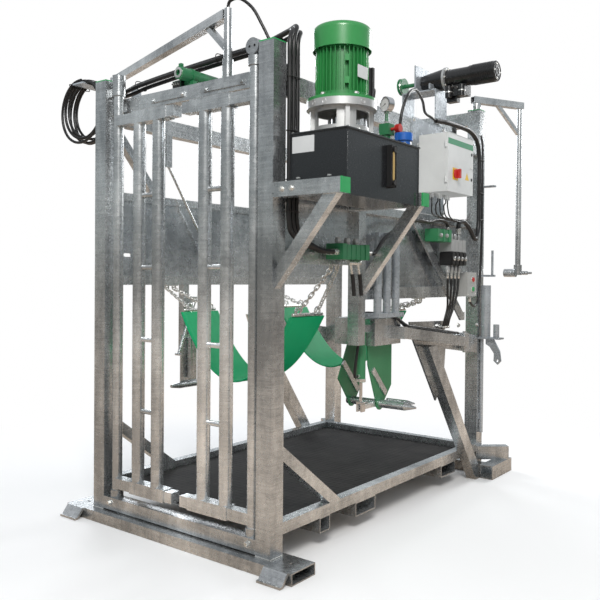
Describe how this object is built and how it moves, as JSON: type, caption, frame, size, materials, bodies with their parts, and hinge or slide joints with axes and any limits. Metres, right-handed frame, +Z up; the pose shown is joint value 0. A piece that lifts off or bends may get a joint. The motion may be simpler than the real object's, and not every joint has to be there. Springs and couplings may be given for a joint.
{
  "type": "hoof_trimming_chute",
  "caption": "Galvanised hoof trimming chute with hydraulic power pack, swinging front gates, belly belts, rear winch, gallows arm and leg lifts",
  "frame": {"origin": "on the ground in the middle of the stall, between the four posts", "axes": "+X towards the side with the power pack, -Y towards the front with the two gates, +Z up"},
  "size_m": [2.0461, 2.4434, 2.448],
  "materials": {
    "galvanised": "hot-dip galvanised, spangled",
    "green_paint": "satin",
    "black_paint": "satin",
    "bright_steel": "polished",
    "cast_grey": "cast",
    "black_plastic": "matte",
    "mat_rubber": "matte",
    "hose_rubber": "matte",
    "blue_plastic": "gloss",
    "red_plastic": "gloss",
    "green_plastic": "gloss",
    "cabinet_grey": "fine texture",
    "box_paint": "satin",
    "belt_webbing": "woven"
  },
  "bodies": {
    "frame": {"base_sill": "galvanised", "anchor_feet": "galvanised", "corner_posts": "galvanised", "crossbeams": "galvanised", "rear_skids": "galvanised", "long_rails": "galvanised", "mid_post": "galvanised", "fork_pockets": "galvanised", "floor_plate": "galvanised", "floor_mat": "mat_rubber", "side_panels": "galvanised", "frame_braces": "galvanised", "diagonal_legs": "galvanised", "tank_brackets": "galvanised", "green_end_caps": "green_paint", "pivot_bearings": "galvanised", "mounting_plates": "galvanised", "gate_stop_bars": "galvanised", "gate_cylinder": "green_paint", "oil_tank": "black_paint", "tank_lid": "black_paint", "bell_housing": "cast_grey", "hydraulic_pump": "cast_grey", "motor_stator": "green_paint", "fan_cowl": "green_paint", "terminal_box": "black_paint", "level_gauge": "black_plastic", "gauge_and_relief_valve": "green_paint", "cabinet_shell": "cabinet_grey", "valve_blocks": "green_paint", "button_box": "box_paint", "winch_gearmotor": "black_paint", "front_belt": "belt_webbing", "rear_belt": "belt_webbing", "belt_hangers": "galvanised", "left_leg_support": "galvanised", "hydraulic_hoses": "hose_rubber", "hose_coil": "hose_rubber"},
    "left_gate": {"left_gate_arm": "galvanised"},
    "left_gate_frame": {"left_gate_sleeve": "galvanised"},
    "right_gate": {"right_gate_arm": "galvanised"},
    "right_gate_frame": {"right_gate_sleeve": "galvanised"},
    "boom": {"swivel_boom": "galvanised"},
    "gallows": {"gallows_arm": "galvanised"},
    "clamp": {"gallows_clamp": "galvanised"},
    "rotor": {"motor_rotor": "bright_steel", "cooling_fan": "black_plastic"},
    "cap": {"filler_cap": "blue_plastic"},
    "knob": {"relief_knob": "red_plastic"},
    "door": {"cabinet_door": "cabinet_grey"},
    "switch": {"main_switch": "red_plastic"},
    "levers": {"valve_levers": "bright_steel"},
    "stop_button": {"red_button": "red_plastic"},
    "start_button": {"green_button": "green_plastic"},
    "pulley": {"winch_pulley": "green_paint"},
    "lift": {"lift_arm": "galvanised", "leg_cheeks": "green_paint", "lift_cylinder": "green_paint"},
    "rod": {"lift_rod": "bright_steel"},
    "rest": {"hoof_rest": "galvanised"}
  },
  "joints": [
    {"name": "left_gate_swing", "type": "hinge", "parent": "frame", "child": "left_gate", "pos_m": [-0.445, -0.989, 0.134], "axis": [0, 0, -1], "range_deg": [0, 90]},
    {"name": "right_gate_swing", "type": "hinge", "parent": "frame", "child": "right_gate", "pos_m": [0.445, -0.989, 0.134], "axis": [0, 0, 1], "range_deg": [0, 90]},
    {"name": "left_gate_width", "type": "slide", "parent": "left_gate", "child": "left_gate_frame", "axis": [-1, 0, 0], "range_m": [-0.05, 0.09]},
    {"name": "right_gate_width", "type": "slide", "parent": "right_gate", "child": "right_gate_frame", "axis": [1, 0, 0], "range_m": [-0.05, 0.09]},
    {"name": "boom_swing", "type": "hinge", "parent": "frame", "child": "boom", "pos_m": [0.22, -0.92, 2.12], "axis": [0, 0, 1], "range_deg": [-60, 100]},
    {"name": "gallows_swing", "type": "hinge", "parent": "frame", "child": "gallows", "pos_m": [0.536, 0.989, 2.27], "axis": [0, 0, 1], "range_deg": [-60, 60]},
    {"name": "clamp_swivel", "type": "hinge", "parent": "gallows", "child": "clamp", "pos_m": [0.69676, 1.28632, 1.27], "axis": [0, 0, 1], "range_deg": [-90, 90]},
    {"name": "motor_spin", "type": "hinge", "parent": "frame", "child": "rotor", "pos_m": [0.74, -0.785, 2], "axis": [0, 0, 1], "continuous": true},
    {"name": "filler_cap_turn", "type": "hinge", "parent": "frame", "child": "cap", "pos_m": [0.84, -0.445, 1.8], "axis": [0, 0, 1], "range_deg": [0, 90]},
    {"name": "relief_knob_turn", "type": "hinge", "parent": "frame", "child": "knob", "pos_m": [0.805, -0.45, 1.867], "axis": [1, 0, 0], "range_deg": [0, 270]},
    {"name": "cabinet_door_swing", "type": "hinge", "parent": "frame", "child": "door", "pos_m": [0.7653, 0.116, 1.8], "axis": [0, 0, -1], "range_deg": [0, 110]},
    {"name": "main_switch_turn", "type": "hinge", "parent": "door", "child": "switch", "pos_m": [0.7763, 0.205, 1.745], "axis": [1, 0, 0], "range_deg": [0, 90]},
    {"name": "valve_lever_swing", "type": "hinge", "parent": "frame", "child": "levers", "pos_m": [0.641, -0.53, 1.268], "axis": [0, -1, 0], "range_deg": [-10, 20]},
    {"name": "stop_button_press", "type": "slide", "parent": "frame", "child": "stop_button", "axis": [-1, 0, 0], "range_m": [0, 0.003], "stiffness_N_per_m": 400},
    {"name": "start_button_press", "type": "slide", "parent": "frame", "child": "start_button", "axis": [-1, 0, 0], "range_m": [0, 0.003], "stiffness_N_per_m": 400},
    {"name": "winch_spin", "type": "hinge", "parent": "frame", "child": "pulley", "pos_m": [0.3, 0.6, 2.36], "axis": [1, 0, 0], "continuous": true},
    {"name": "leg_lift_swing", "type": "hinge", "parent": "frame", "child": "lift", "pos_m": [0.607, 0.7, 0.832], "axis": [0, 0, 1], "range_deg": [0, 30]},
    {"name": "lift_rod_travel", "type": "slide", "parent": "lift", "child": "rod", "axis": [0, 0, 1], "range_m": [0, 0.05835]},
    {"name": "hoof_rest_turn", "type": "hinge", "parent": "lift", "child": "rest", "pos_m": [0.43, -0.11, 0.565], "axis": [-1, 0, 0], "range_deg": [0, 20]}
  ],
  "couplings": [
    {"joint": "lift_rod_travel", "follows": "hoof_rest_turn", "m_per_rad": 0.167}
  ]
}
